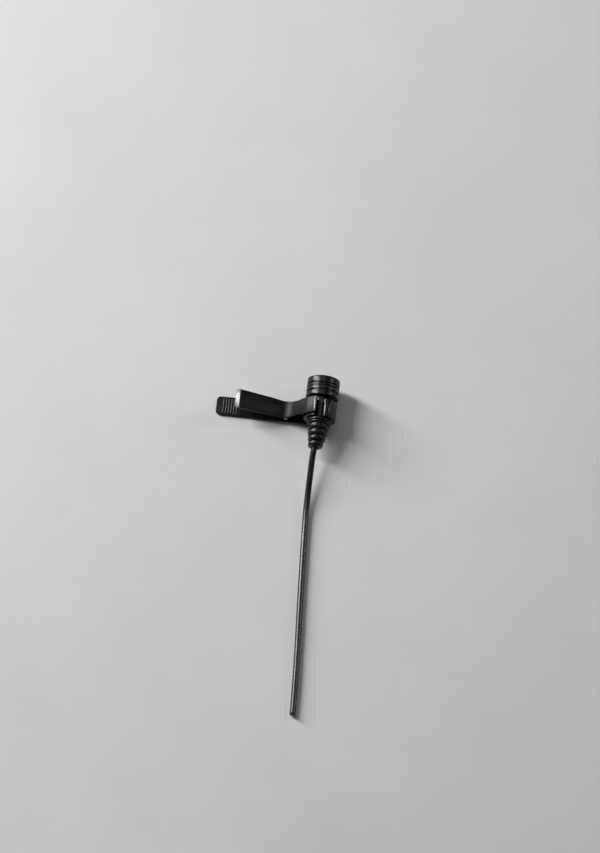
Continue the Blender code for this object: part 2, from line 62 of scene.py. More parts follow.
SLIVER = 0.002                     # edges shorter than this are merged after a cut

# Head and body
HEAD_RADIUS = 5.85
HEAD_FRONT = 12.0
HEAD_REAR = 4.7
HEAD_BORE = 5.2
HEAD_EDGE_ROUNDING = 0.4
HEAD_REAR_ROUNDING = 0.28
FACE_INSIDE = 11.2
GROOVES = (                  # y, width and depth, rear to front
    (6.65, 0.66, 0.52),
    (8.28, 0.36, 0.30),
    (9.35, 0.42, 0.46),
)
GROOVE_FLOOR_SHARE = 0.36    # half of a groove's floor, as a share of its width
GROOVE_EDGE_ROUNDING = 0.16
GROOVE_FLOOR_ROUNDING = 0.06
SOUND_HOLE_COUNT = 6         # round the one in the middle
SOUND_HOLE_RADIUS = 0.55
SOUND_HOLE_CIRCLE = 2.6
SOUND_HOLE_LIP = (           # depth under the face and widening of each hole's rounded mouth
    (0.22, 0.0),
    (0.1, 0.06),
    (-0.1, 0.28),
)
FACE_LOOPS = (4.9, 4.2, 3.6, 1.6, 1.0, 0)   # keep the face's mesh even between the sound holes
SCREEN_Y = 11.025
SCREEN_PITCH = 0.26
SCREEN_WIRE = 0.035
SCREEN_RADIUS = 4.7
RIM_INNER = 4.6
RIM_OUTER = 4.95
RIM_HALF_THICKNESS = 0.07
SHELL_OUTLINE = (            # y, radius and rounding
    (6.0, 3.35),
    (6.0, 4.9, 0.1),
    (4.95, 4.9, 0.1),
    (4.95, 3.95, 0.15),
    (-3.3, 3.95, 0.3),
    (-3.3, 2.25),
    (-2.5, 2.25),
    (-2.5, 3.35),
)

# Strain relief and cord
BOOT_START = -3.6
BOOT_SEAT = -3.35            # the boot's broad end, pushed up to the tube
BOOT_END = -13.6
BOOT_BASE_RADIUS = 4.6
BOOT_BASE_END = -4.15
BOOT_RADIUS_START = 4.3
BOOT_RADIUS_END = 2.45
BOOT_BORE = 1.5
BOOT_NECK = 1.95
BOOT_FLANGE = 3.0
BOOT_FLANGE_FRONT = -1.7
BOOT_FLANGE_REAR = -2.2
BOOT_FLANGE_ROUNDING = 0.15
BOOT_LEAN = 0.4
BOOT_GROOVES = (-5.45, -7.6, -9.8, -11.85)
BOOT_GROOVE_DEPTH = 0.55
BOOT_GROOVE_WIDTH = 0.5
BOOT_CROWN = 0.16
RIB_EDGE_DROP = 0.02
RIB_EDGE_ROUNDING = 0.3
RIB_CROWN_ROUNDING = 4.0
GROOVE_WALL = 0.06
CORD_RADIUS = 1.1
CORD_POINTS = 150
CORD_ROUTE = (               # x, y, z of the cord's centre, from inside the shell to its cut end
    (0.0, -0.5, 6.8),
    (0.0, -5.0, 6.8),
    (-0.18, -9.5, 6.75),
    (-0.62, -13.6, 6.4),
    (-0.92, -18.0, 5.4),
    (-1.0, -24.5, 3.65),
    (-1.05, -30.6, 2.15),
    (-1.0, -36.5, 1.35),
    (-0.75, -42.5, 1.1),
    (-0.46, -48.6, 1.1),
    (0.19, -60.7, 1.1),
    (0.87, -72.9, 1.1),
    (1.62, -85.0, 1.1),
    (2.27, -97.2, 1.1),
    (2.7, -107.5, 1.1),
    (2.9, -112.9, 1.1),
)
JACKET_BORE = 0.72
CORE_RADIUS = 0.3
JACKET_STRIPPED = 1.2        # depth of the open bore at the cut end
CORE_RECESS = 0.25
CORE_LENGTH = 0.9
STRAND_RADIUS = 0.11
BRAID_COUNT = 14
BRAID_CIRCLE = 0.655
BRAID_RADIUS = 0.055

# Clip
CLIP_Y = 0.6
SHEET = 0.6
LOWER_SHEET = 0.8
LOWER_HALF_WIDTH = 3.45
FINGER_END = -37.5
JAW_END = 3.6
PAD_CORNER = 1.6
JAW_CORNER = 0.8
PAD_RIDGE_COUNT = 6
PAD_RIDGE_PITCH = 0.96
PAD_RIDGE_START = -34.8
PAD_RIDGE_HEIGHT = 0.22
PAD_RIDGE_HALF_WIDTH = 0.3
PAD_RIDGE_MARGIN = 0.35      # from the lever's side
JAW_RIDGES = (-2.7, 2.7)
JAW_RIDGE_HEIGHT = 0.45
JAW_RIDGE_HALF_WIDTH = 0.38
JAW_RIDGE_MARGIN = 0.3
LOWER_ROUNDING = 0.18
RIDGE_TAPER = 0.4            # length over which a ridge runs out at each end
RIDGE_SHARES = (0.0, 0.04, 0.12, 0.25, 0.45, 0.7, 1.0)
RIDGE_TIP = 0.08
RIDGE_SUNK = 0.2
PIN_X = -12.24
PIN_HEIGHT = 1.95
PIN_RADIUS = 0.45
PIN_HEAD_RADIUS = 0.8
PIN_HALF_LENGTH = 3.2
EAR_RADIUS = 0.98
UPPER_EAR_OUTER = 2.85
UPPER_EAR_TOP = 3.65
LOWER_EAR_OUTER = 1.95
LOWER_EAR_SUNK = 0.3         # how far the ears reach into the lever's sheet
UPPER_START = (-30.6, 9.5)   # x and height of the upper lever's top face at its lip
UPPER_START_ANGLE = 25.2
UPPER_BENDS = (              # straight run, then radius and turn in degrees of the bend that follows it
    (1.66, 0.5, -48.1),
    (15.84, 3.0, 52.9),
    (0.0, 6.0, 20.0),
    (6.4, 8.0, -12.0),
    (2.9, 0.9, -50.0),
)
UPPER_WIDTHS = (             # x and half-width
    (-30.6, 3.45),
    (-29.1, 3.5),
    (-18.0, 3.35),
    (-12.2, 3.05),
    (-9.8, 2.75),
    (-8.3, 2.6),
    (-6.4, 2.85),
    (-5.0, 3.0),
    (-1.35, 3.0),
)
UPPER_CORNER = 0.6
BEND_STEP = 0.15
STRIP_STEP = 0.22
STRIP_END_STEPS = (0.0, 0.02, 0.05, 0.09, 0.14, 0.21, 0.3, 0.42)
EAR_FLARE = 0.25
EAR_ROUNDING = 0.1
EAR_STEPS = 28
# Rubbed bands on the lip and the strap's end: bare metal worn by handling, in a lighter colour that is
# partly a painted highlight
RUBBED_AND_PAINTED_HIGHLIGHT_BANDS = ((-31.0, -28.9), (-2.1, -1.0))
MATT_BANDS = ((-13.0, -10.5),)
COAT_DARK = (0.004, 0.0042, 0.0048)
COAT_LIGHT = (0.008, 0.0083, 0.009)
COAT_WORN = (0.07, 0.07, 0.073)
# Colour of the rubbed bands: worn bare metal, lightened further as a painted highlight
RUBBED_METAL_AND_PAINTED_HIGHLIGHT = (0.08, 0.08, 0.083)
SHEET_ROUNDING = 0.14
COLLAR_RADIUS = 5.7
COLLAR_BORE = 4.2
COLLAR_HALF_LENGTH = 3.3
COLLAR_ENDS = (11.0, 341.0)  # degrees from the top, clockwise seen from the cord
COLLAR_ROUNDING = 0.3
COLLAR_OUTER_STEPS = 110
COLLAR_BORE_STEPS = 100
BEAD_STEPS = 36
BEAD_START = 158             # degrees, where the bead's arc begins
BEAD_CENTRE = (2.3, 10.43)   # x and z of the bead along the collar's free end
BEAD_RADIUS = 1.75

# Torsion spring
WIRE_RADIUS = 0.16
COIL_RADIUS = 0.77
COIL_TURNS = 3.5
COIL_PITCH = 0.5
SPRING_LEG = 7.0
SPRING_LEG_RISE = 12.0
SPRING_LEG_STEPS = 14
COIL_STEPS = 36              # for each turn
WIRE_STEPS = 400
WIRE_CHAMFER = 0.04

# View and light
VIEW_AZIMUTH = 6.5
VIEW_ELEVATION = 70.0
VIEW_DISTANCE = 6000.0
VIEW_LENS = 1008.4
VIEW_SENSOR = 36
VIEW_NEAR = 0.01             # metres
VIEW_FAR = 20                # metres
VIEW_LEFT = 7.25             # how far the view's middle lies left of and below the microphone
VIEW_BELOW = 5.28
LIGHTS = (                   # name, width and length in metres, tilt, bearing, distance in metres, watts
    ("key", (0.2, 0.85), 57, 154, 1.1, 14.0),
    ("overhead", (0.6, 0.6), 18, 95, 1.3, 1.2),
    ("side", (0.06, 0.5), 62, 22, 1.1, 1.1),
)
LIGHT_AIM = (-8, -20, 5)
WORLD_STRENGTH = 0.05
FLOOR_SIZE = 3.0             # metres
FLOOR_DROP = 0.0002          # metres


def place(x, y, z):
    """A point measured from the microphone's axis, in the frame's metres."""
    return Vector((x + MIC_X, y + MIC_Y, z)) * MM


# --- Lines and outlines ---

def arc(centre, radius, first, last, steps):
    """Points on a circle between two angles in degrees."""
    points = []
    for step in range(steps + 1):
        angle = math.radians(first + (last - first) * step / steps)
        points.append(Vector((centre[0] + radius * math.cos(angle),
                              centre[1] + radius * math.sin(angle))))
    return points


def filleted(corners, steps=5):
    """A line through (a, b) or (a, b, rounding) corners, each rounded as far as its sides allow."""
    points = [Vector(corners[0][:2])]
    for before, corner, after in zip(corners, corners[1:], corners[2:]):
        here = Vector(corner[:2])
        if len(corner) < 3:
            points.append(here)
            continue
        back = Vector(before[:2]) - here
        ahead = Vector(after[:2]) - here
        half = back.angle(ahead) / 2
        reach = min(corner[2] / math.tan(half), FILLET_SHARE * back.length, FILLET_SHARE * ahead.length)
        radius = reach * math.tan(half)
        centre = here + (back.normalized() + ahead.normalized()).normalized() * radius / math.sin(half)
        start = here + back.normalized() * reach - centre
        sweep = (here + ahead.normalized() * reach - centre).angle_signed(start)
        for step in range(steps + 1):
            points.append(centre + Matrix.Rotation(sweep * step / steps, 2) @ start)
    points.append(Vector(corners[-1][:2]))
    return points


def resampled(points, positions):
    """The points of a line at the given distances along it."""
    lengths = [0.0]
    for start, end in zip(points, points[1:]):
        lengths.append(lengths[-1] + (end - start).length)
    result = []
    index = 0
    for wanted in positions:
        while index < len(points) - 2 and lengths[index + 1] < wanted:
            index += 1
        share = (wanted - lengths[index]) / (lengths[index + 1] - lengths[index])
        result.append(points[index].lerp(points[index + 1], min(share, 1.0)))
    return result


def line_length(points):
    return sum((end - start).length for start, end in zip(points, points[1:]))


def smooth_route(points, count):
    """Evenly spaced points on a smooth curve through the given ones."""
    points = [Vector(point) for point in points]
    points = [2 * points[0] - points[1], *points, 2 * points[-1] - points[-2]]
    dense = []
    for p0, p1, p2, p3 in zip(points, points[1:], points[2:], points[3:]):
        for step in range(24):
            t = step / 24
            dense.append(0.5 * (
                2 * p1
                + (p2 - p0) * t
                + (2 * p0 - 5 * p1 + 4 * p2 - p3) * t ** 2
                + (3 * p1 - p0 - 3 * p2 + p3) * t ** 3
            ))
    dense.append(points[-2])
    total = line_length(dense)
    return resampled(dense, [total * step / (count - 1) for step in range(count)])


def between(table, x):
    """Read a value from a table of (x, value) rows, easing from row to row."""
    if x <= table[0][0]:
        return table[0][1]
    for (x0, v0), (x1, v1) in zip(table, table[1:]):
        if x <= x1:
            share = (x - x0) / (x1 - x0)
            return v0 + (v1 - v0) * share * share * (3 - 2 * share)
    return table[-1][1]


# --- Meshes ---

def spun(outline, steps=128, centre=(0.0, AXIS_HEIGHT), closed=True):
    """Spin an outline of (y, radius) points about a line along Y through centre's x and z."""
    bm = bmesh.new()
    x, z = centre
    verts = [bm.verts.new(place(x + radius, y, z)) for y, radius in outline]
    pairs = list(zip(verts, verts[1:]))
    if closed:
        pairs.append((verts[-1], verts[0]))
    edges = [bm.edges.new(pair) for pair in pairs]
    bmesh.ops.spin(
        bm,
        geom=verts + edges,
        cent=place(x, 0, z),
        axis=(0, 1, 0),
        angle=math.tau,
        steps=steps,
        use_merge=True,
    )
    return bm


def extruded(outline, y_low, y_high, rounding, segments=3):
    """A flat outline of (x, z) points, extruded across the clip, with its sharp edges rounded."""
    bm = bmesh.new()
    face = bm.faces.new([bm.verts.new(place(x, y_low, z)) for x, z in outline])
    made = bmesh.ops.extrude_face_region(bm, geom=[face])["geom"]
    moved = [item for item in made if isinstance(item, bmesh.types.BMVert)]
    bmesh.ops.translate(bm, verts=moved, vec=Vector((0, y_high - y_low, 0)) * MM)
    round_edges(bm, rounding, segments)
    return bm


def round_edges(bm, rounding, segments):
    bmesh.ops.recalc_face_normals(bm, faces=bm.faces)
    sharp = [edge for edge in bm.edges if edge.calc_face_angle(0) > SHARP_ANGLE]
    bmesh.ops.bevel(
        bm,
        geom=sharp,
        offset=rounding * MM,
        segments=segments,
        profile=0.5,
        affect="EDGES",
        clamp_overlap=True,
    )


def lofted(rows):
    """A closed solid through rows of points, each row a loop, with a flat cap at each end."""
    bm = bmesh.new()
    loops = [[bm.verts.new(point) for point in row] for row in rows]
    for first, second in zip(loops, loops[1:]):
        for index in range(len(first)):
            after = (index + 1) % len(first)
            bm.faces.new((first[index], first[after], second[after], second[index]))
    bm.faces.new(loops[0])
    bm.faces.new(loops[-1])
    return bm


def swept(path, profile, sides):
    """A tube about a path: profile lists (distance along the path, radius) rings."""
    total = line_length(path)
    frames = []
    side = (path[1] - path[0]).orthogonal()
    count = len(path) - 1
    for index, point in enumerate(path):
        along = (path[min(index + 1, count)] - path[max(index - 1, 0)]).normalized()
        side = (side - along * side.dot(along)).normalized()
        frames.append((point, along, side))
    rows = []
    for distance, radius in profile:
        position = min(max(distance / total, 0.0), 1.0) * count
        index = min(int(position), count - 1)
        share = position - index
        point = frames[index][0].lerp(frames[index + 1][0], share)
        along = frames[index][1].lerp(frames[index + 1][1], share).normalized()
        side = frames[index][2].lerp(frames[index + 1][2], share).normalized()
        across = along.cross(side)
        row = []
        for step in range(sides):
            angle = math.tau * step / sides
            row.append(place(*(point + (side * math.cos(angle) + across * math.sin(angle)) * radius)))
        rows.append(row)
    return lofted(rows)


def rounded_section(half, top, bottom, rounding):
    """(across, depth) points of a flat bar's section with rounded corners."""
    corners = (
        (half - rounding, top - rounding, 0),
        (-half + rounding, top - rounding, 90),
        (-half + rounding, bottom + rounding, 180),
        (half - rounding, bottom + rounding, 270),
    )
    points = []
    for across, depth, first in corners:
        points += arc((across, depth), rounding, first, first + 90, 4)
    return points


def end_spacing(total):
    """Distances along a strip, close together near its two ends."""
    near = [*STRIP_END_STEPS, UPPER_CORNER]
    middle = total - 2 * UPPER_CORNER
    count = math.ceil(middle / STRIP_STEP)
    inner = [UPPER_CORNER + middle * step / count for step in range(1, count)]
    return near + inner + [total - distance for distance in reversed(near)]


def strip(line, widths):
    """Sheet metal with rounded edges and corners, whose top face follows a line in X and Z."""
    total = line_length(line)
    distances = end_spacing(total)
    points = resampled(line, distances)
    rows = []
    for index, point in enumerate(points):
        before = points[max(index - 1, 0)]
        after = points[min(index + 1, len(points) - 1)]
        along = (after - before).normalized()
        normal = Vector((-along.y, along.x))
        inset = min(distances[index], total - distances[index])
        short = max(UPPER_CORNER - inset, 0.0)
        half = between(widths, point.x) - UPPER_CORNER + math.sqrt(UPPER_CORNER ** 2 - short ** 2)
        thin = max(SHEET_ROUNDING - inset, 0.0)
        shrink = SHEET_ROUNDING - math.sqrt(SHEET_ROUNDING ** 2 - thin ** 2)
        section = rounded_section(half, -shrink, shrink - SHEET, max(SHEET_ROUNDING - shrink, 0.01))
        row = []
        for across, depth in section:
            where = point + normal * depth
            row.append(place(where.x, CLIP_Y + across, where.y))
        rows.append(row)
    return lofted(rows)


def bar(x, reach, half_width, height):
    """A half-round ridge across the lower lever, tapering at its two ends."""
    sunk = LOWER_SHEET - RIDGE_SUNK
    rows = []
    for side in (-1, 1):
        for share in (RIDGE_SHARES if side < 0 else reversed(RIDGE_SHARES)):
            size = max(math.sqrt(1 - (1 - share) ** 2), RIDGE_TIP)
            y = CLIP_Y + side * (reach - RIDGE_TAPER * share)
            row = [place(x + half_width * size, y, sunk), place(x - half_width * size, y, sunk)]
            for point in arc((0, 0), 1.0, 180, 0, 12):
                row.append(place(x + half_width * size * point.x, y, LOWER_SHEET + height * size * point.y))
            rows.append(row)
    return lofted(rows)


def smooth(mesh):
    """Smooth shading everywhere but across the sharp edges."""
    mesh.shade_smooth()
    mesh.set_sharp_from_angle(angle=SMOOTH_ANGLE)


def make_piece(name, parts, material):
    """One object from one or more built meshes."""
    whole = bmesh.new()
    for part in parts:
        bmesh.ops.remove_doubles(part, verts=part.verts, dist=MERGE_DISTANCE)
        bmesh.ops.recalc_face_normals(part, faces=part.faces)
        mesh = bpy.data.meshes.new(f"{name}_part")
        part.to_mesh(mesh)
        part.free()
        whole.from_mesh(mesh)
        bpy.data.meshes.remove(mesh)
    mesh = bpy.data.meshes.new(name)
    whole.to_mesh(mesh)
    whole.free()
    mesh.materials.append(material)
    smooth(mesh)
    piece = bpy.data.objects.new(name, mesh)
    bpy.context.collection.objects.link(piece)
    return piece


def carve(piece, cutter):
    """Cut a closed shape out of a piece, and remove the cutter."""
    modifier = piece.modifiers.new("cut", "BOOLEAN")
    modifier.operation = "DIFFERENCE"
    modifier.solver = "EXACT"
    modifier.object = cutter
    bpy.context.view_layer.update()
    mesh = bpy.data.meshes.new_from_object(piece.evaluated_get(bpy.context.evaluated_depsgraph_get()))
    piece.modifiers.clear()
    cleaned = bmesh.new()
    cleaned.from_mesh(mesh)
    bmesh.ops.dissolve_degenerate(cleaned, dist=SLIVER * MM, edges=cleaned.edges)
    bmesh.ops.remove_doubles(cleaned, verts=cleaned.verts, dist=SLIVER * MM)
    cleaned.to_mesh(mesh)
    cleaned.free()
    piece.data = mesh
    smooth(mesh)
    bpy.data.objects.remove(cutter, do_unlink=True)


def belongs(piece, body, slot, *nodes):
    """The piece rides on a body and stands for these CAD nodes, which are hidden; slot is not used."""
    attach(piece, body)
    if nodes:
        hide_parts(*nodes)


# --- Materials ---

class Surface:
    """A procedural material in the making, with coordinates in millimetres."""

    def __init__(self, name, roughness, metallic=0.0, specular=0.5, coat=0.0):
        self.material = bpy.data.materials.new(name)
        self.material.use_nodes = True
        self.tree = self.material.node_tree
        self.shader = self.tree.nodes["Principled BSDF"]
        self.shader.inputs["Metallic"].default_value = metallic
        self.shader.inputs["Specular IOR Level"].default_value = specular
        self.shader.inputs["Coat Weight"].default_value = coat
        self.shader.inputs["Coat Roughness"].default_value = 0.2
        self.roughness = roughness
        self.rough_output = None
        self.height = None
        self.coordinates = self.add("ShaderNodeTexCoord").outputs["Object"]

    def add(self, kind, inputs=None, **settings):
        node = self.tree.nodes.new(kind)
        for key, value in settings.items():
            setattr(node, key, value)
        for key, value in (inputs or {}).items():
            if isinstance(value, bpy.types.NodeSocket):
                self.tree.links.new(value, node.inputs[key])
            else:
                node.inputs[key].default_value = value
        return node

    def stretched(self, scale):
        scale = [number / MM for number in scale]
        return self.add("ShaderNodeMapping", {"Vector": self.coordinates, "Scale": scale}).outputs["Vector"]

    def noise(self, scale, detail, stretch=(1.0, 1.0, 1.0)):
        inputs = {"Vector": self.stretched(stretch), "Scale": scale, "Detail": detail, "Roughness": 0.6}
        return self.add("ShaderNodeTexNoise", inputs).outputs["Fac"]

    def ranged(self, value, low, high, to_low, to_high):
        inputs = {"Value": value, "From Min": low, "From Max": high, "To Min": to_low, "To Max": to_high}
        return self.add("ShaderNodeMapRange", inputs).outputs["Result"]

    def mixed(self, factor, first, second):
        inputs = {"Factor": factor}
        node = self.add("ShaderNodeMix", inputs, data_type="RGBA")
        for socket, value in ((node.inputs[6], first), (node.inputs[7], second)):
            if isinstance(value, bpy.types.NodeSocket):
                self.tree.links.new(value, socket)
            else:
                socket.default_value = (*value, 1.0)
        return node.outputs[2]

    def mottled(self, noise, dark, light):
        return self.mixed(self.ranged(noise, 0.35, 0.65, 0.0, 1.0), dark, light)

    def maths(self, operation, first, second):
        node = self.add("ShaderNodeMath", operation=operation)
        for socket, value in zip(node.inputs, (first, second)):
            if isinstance(value, bpy.types.NodeSocket):
                self.tree.links.new(value, socket)
            else:
                socket.default_value = value
        return node.outputs["Value"]

    def colour(self, value):
        self.tree.links.new(value, self.shader.inputs["Base Color"])

    def bump(self, height, depth):
        """Raise the surface by a height pattern, depth in millimetres."""
        inputs = {"Height": height, "Distance": depth * MM, "Strength": 1.0}
        if self.height:
            inputs["Normal"] = self.height
        self.height = self.add("ShaderNodeBump", inputs).outputs["Normal"]

    def vary_roughness(self, pattern, spread):
        low, high = self.roughness - spread, self.roughness + spread
        self.rough_output = self.ranged(pattern, 0.3, 0.7, low, high)

    def band(self, low, high, softness):
        """A mask that is 1 between two places along the clip, in its own millimetres."""
        place_x = self.add("ShaderNodeSeparateXYZ", {"Vector": self.stretched((1.0, 1.0, 1.0))}).outputs["X"]
        rising = self.ranged(place_x, MIC_X + low - softness, MIC_X + low, 0.0, 1.0)
        falling = self.ranged(place_x, MIC_X + high, MIC_X + high + softness, 1.0, 0.0)
        return self.maths("MULTIPLY", rising, falling)

    def edges(self, low, high):
        """A mask that is 1 on outward edges, broken up by noise."""
        pointiness = self.add("ShaderNodeNewGeometry").outputs["Pointiness"]
        edge = self.ranged(pointiness, low, high, 0.0, 1.0)
        patchy = self.ranged(self.noise(1.3, 5.0), 0.42, 0.62, 0.0, 1.0)
        return self.maths("MULTIPLY", edge, patchy)

    def finish(self):
        if self.rough_output:
            self.tree.links.new(self.rough_output, self.shader.inputs["Roughness"])
        else:
            self.shader.inputs["Roughness"].default_value = self.roughness
        if self.height:
            self.tree.links.new(self.height, self.shader.inputs["Normal"])
        return self.material


def coated_metal(name, dark, light, bare, roughness, specular, rubbed=(), matt=()):
    """Black coated sheet metal: faint mottling, fine orange peel, and edges worn a little brighter.

    Rubbed bands are polished by handling and coloured lighter, which is partly a painted highlight; matt
    bands are where a tight bend has dulled the coat.
    """
    surface = Surface(name, roughness, specular=specular)
    broad = surface.noise(0.45, 3.0)
    tone = surface.mottled(broad, dark, light)
    tone = surface.mixed(surface.edges(0.56, 0.68), tone, bare)
    surface.vary_roughness(surface.noise(0.9, 5.0), 0.04)
    metal = 0.0
    # Rubbed bands: lighter colour, partly bare metal worn by handling and partly a painted highlight
    for low, high in rubbed:
        band = surface.band(low, high, 0.25)
        worn = surface.ranged(surface.noise(1.1, 5.0), 0.35, 0.6, 0.55, 1.0)
        tone = surface.mixed(surface.maths("MULTIPLY", band, worn), tone, RUBBED_METAL_AND_PAINTED_HIGHLIGHT)
        surface.rough_output = surface.ranged(band, 0.0, 1.0, surface.rough_output, 0.24)
        metal = surface.maths("ADD", metal, surface.maths("MULTIPLY", band, 0.6))
    for low, high in matt:
        band = surface.band(low, high, 1.2)
        surface.rough_output = surface.ranged(band, 0.0, 1.0, surface.rough_output, 0.48)
    if rubbed:
        surface.tree.links.new(metal, surface.shader.inputs["Metallic"])
    surface.colour(tone)
    surface.bump(surface.noise(5.0, 2.0), 0.004)
    surface.bump(surface.noise(2.2, 5.0, (0.35, 1.0, 1.0)), 0.004)
    return surface.finish()


def turned_metal(name, dark, light, bare, roughness):
    """Black anodised metal with turning lines round the microphone's axis and rubbed ring edges."""
    surface = Surface(name, roughness, metallic=0.15, specular=0.36)
    broad = surface.noise(0.5, 4.0)
    tone = surface.mottled(broad, dark, light)
    surface.colour(surface.mixed(surface.edges(0.54, 0.64), tone, bare))
    surface.vary_roughness(surface.noise(0.8, 5.0), 0.06)
    surface.bump(surface.noise(1.0, 3.0, (0.25, 14.0, 0.25)), 0.006)
    surface.bump(surface.noise(9.0, 2.0), 0.002)
    return surface.finish()


def moulded(name, dark, light, roughness, grain, depth, dust=None, specular=0.5):
    """Moulded rubber or plastic: fine grain, uneven gloss, and a trace of dust in the tone."""
    surface = Surface(name, roughness, specular=specular)
    broad = surface.noise(0.35, 4.0)
    tone = surface.mottled(broad, dark, light)
    if dust:
        specks = surface.ranged(surface.noise(6.0, 3.0), 0.64, 0.74, 0.0, 0.6)
        tone = surface.mixed(specks, tone, dust)
    surface.colour(tone)
    surface.vary_roughness(surface.noise(0.9, 5.0), roughness * 0.07)
    surface.bump(surface.noise(grain, 3.0), depth)
    surface.bump(surface.noise(0.6, 2.0), depth * 3)
    return surface.finish()


def bright_metal(name, dark, light, roughness, stretch=(1.0, 1.0, 1.0)):
    """Bare metal with drawn or brushed lines and slight tarnish."""
    surface = Surface(name, roughness, metallic=1.0)
    tarnish = surface.ranged(surface.noise(0.9, 5.0), 0.38, 0.66, 0.0, 1.0)
    surface.colour(surface.mixed(tarnish, light, dark))
    surface.vary_roughness(surface.noise(2.0, 5.0), 0.08)
    surface.bump(surface.noise(4.0, 4.0, stretch), 0.004)
    return surface.finish()


def fibrous(name, dark, light):
    """Felt: tangled fibres in two scales."""
    surface = Surface(name, 0.95, specular=0.2)
    fibres = surface.noise(9.0, 8.0, (1.0, 1.0, 0.35))
    surface.colour(surface.mottled(fibres, dark, light))
    surface.shader.inputs["Sheen Weight"].default_value = 0.4
    surface.bump(fibres, 0.05)
    surface.bump(surface.noise(22.0, 4.0), 0.02)
    return surface.finish()


def laminate(name, mask_dark, mask_light, copper):
    """Circuit board: glass weave under solder mask, with a few copper tracks showing through."""
    surface = Surface(name, 0.4, specular=0.5, coat=0.3)
    weave = surface.add("ShaderNodeTexWave", {
        "Vector": surface.stretched((1.0, 1.0, 1.0)),
        "Scale": 3.0,
        "Distortion": 0.6,
    }, bands_direction="X").outputs["Fac"]
    tone = surface.mottled(surface.noise(1.0, 4.0), mask_dark, mask_light)
    tracks = surface.ranged(surface.noise(0.7, 0.0, (1.0, 0.1, 1.0)), 0.5, 0.52, 0.0, 0.35)
    surface.colour(surface.mixed(tracks, tone, copper))
    surface.vary_roughness(surface.noise(1.4, 4.0), 0.08)
    surface.bump(weave, 0.008)
    return surface.finish()


def paper(name):
    """The floor: plain, matte and pale, with a barely visible tooth."""
    surface = Surface(name, 0.85, specular=0.2)
    tone = surface.ranged(surface.noise(0.02, 4.0), 0.3, 0.7, 0.0, 1.0)
    surface.colour(surface.mixed(tone, (0.76, 0.755, 0.75), (0.8, 0.795, 0.79)))
    surface.bump(surface.noise(1.2, 4.0), 0.02)
    return surface.finish()


def make_materials():
    lines_y = (0.3, 8.0, 0.3)
    return {
        "head_black": turned_metal(
            "head_black", (0.005, 0.005, 0.0055), (0.010, 0.010, 0.011), (0.10, 0.10, 0.105),
            roughness=0.28),
        "clip_black": coated_metal(
            "clip_black", COAT_DARK, COAT_LIGHT, COAT_WORN,
            roughness=0.30, specular=0.28),
        "lever_black": coated_metal(
            "lever_black", COAT_DARK, COAT_LIGHT, COAT_WORN,
            roughness=0.30, specular=0.28, rubbed=RUBBED_AND_PAINTED_HIGHLIGHT_BANDS, matt=MATT_BANDS),
        "collar_black": coated_metal(
            "collar_black", COAT_DARK, (0.008, 0.0085, 0.0095), (0.09, 0.09, 0.095),
            roughness=0.21, specular=0.25),
        "boot_rubber": moulded(
            "boot_rubber", (0.005, 0.005, 0.005), (0.010, 0.0098, 0.0095),
            roughness=0.29, grain=7.0, depth=0.003, dust=(0.05, 0.048, 0.045), specular=0.36),
        "cord_jacket": moulded(
            "cord_jacket", (0.006, 0.006, 0.006), (0.011, 0.011, 0.0105),
            roughness=0.27, grain=5.0, depth=0.0008, dust=(0.013, 0.0128, 0.0125), specular=0.6),
        "spring_steel": bright_metal("spring_steel", (0.30, 0.29, 0.28), (0.55, 0.55, 0.56), 0.28),
        "screen_mesh": bright_metal("screen_mesh", (0.16, 0.16, 0.17), (0.34, 0.34, 0.35), 0.4),
        "dust_felt": fibrous("dust_felt", (0.006, 0.006, 0.007), (0.035, 0.034, 0.034)),
        "capsule_aluminium": bright_metal("capsule_aluminium", (0.55, 0.55, 0.57), (0.82, 0.82, 0.84),
                                          0.34, lines_y),
        "capsule_brass": bright_metal("capsule_brass", (0.48, 0.33, 0.13), (0.80, 0.62, 0.30), 0.3,
                                      lines_y),
        "diaphragm_film": bright_metal("diaphragm_film", (0.62, 0.55, 0.40), (0.78, 0.72, 0.58), 0.2),
        "insulator": moulded("insulator", (0.60, 0.58, 0.53), (0.72, 0.70, 0.65), 0.45, 6.0, 0.005),
        "component_black": moulded("component_black", (0.014, 0.014, 0.015), (0.03, 0.03, 0.031), 0.5,
                                   12.0, 0.01),
        "circuit_board": laminate("circuit_board", (0.01, 0.10, 0.035), (0.02, 0.16, 0.06),
                                  (0.45, 0.30, 0.12)),
        "solder": bright_metal("solder", (0.42, 0.42, 0.43), (0.72, 0.72, 0.74), 0.26),
        "wire_red": moulded("wire_red", (0.30, 0.012, 0.01), (0.42, 0.02, 0.016), 0.38, 6.0, 0.004),
        "wire_white": moulded("wire_white", (0.62, 0.61, 0.57), (0.74, 0.73, 0.70), 0.4, 6.0, 0.004),
        "sleeve_rubber": moulded("sleeve_rubber", (0.012, 0.012, 0.012), (0.025, 0.025, 0.024), 0.55,
                                 7.0, 0.01),
        "copper_core": bright_metal("copper_core", (0.50, 0.22, 0.10), (0.85, 0.48, 0.30), 0.3,
                                    (1.0, 0.15, 1.0)),
    }


# --- Microphone ---

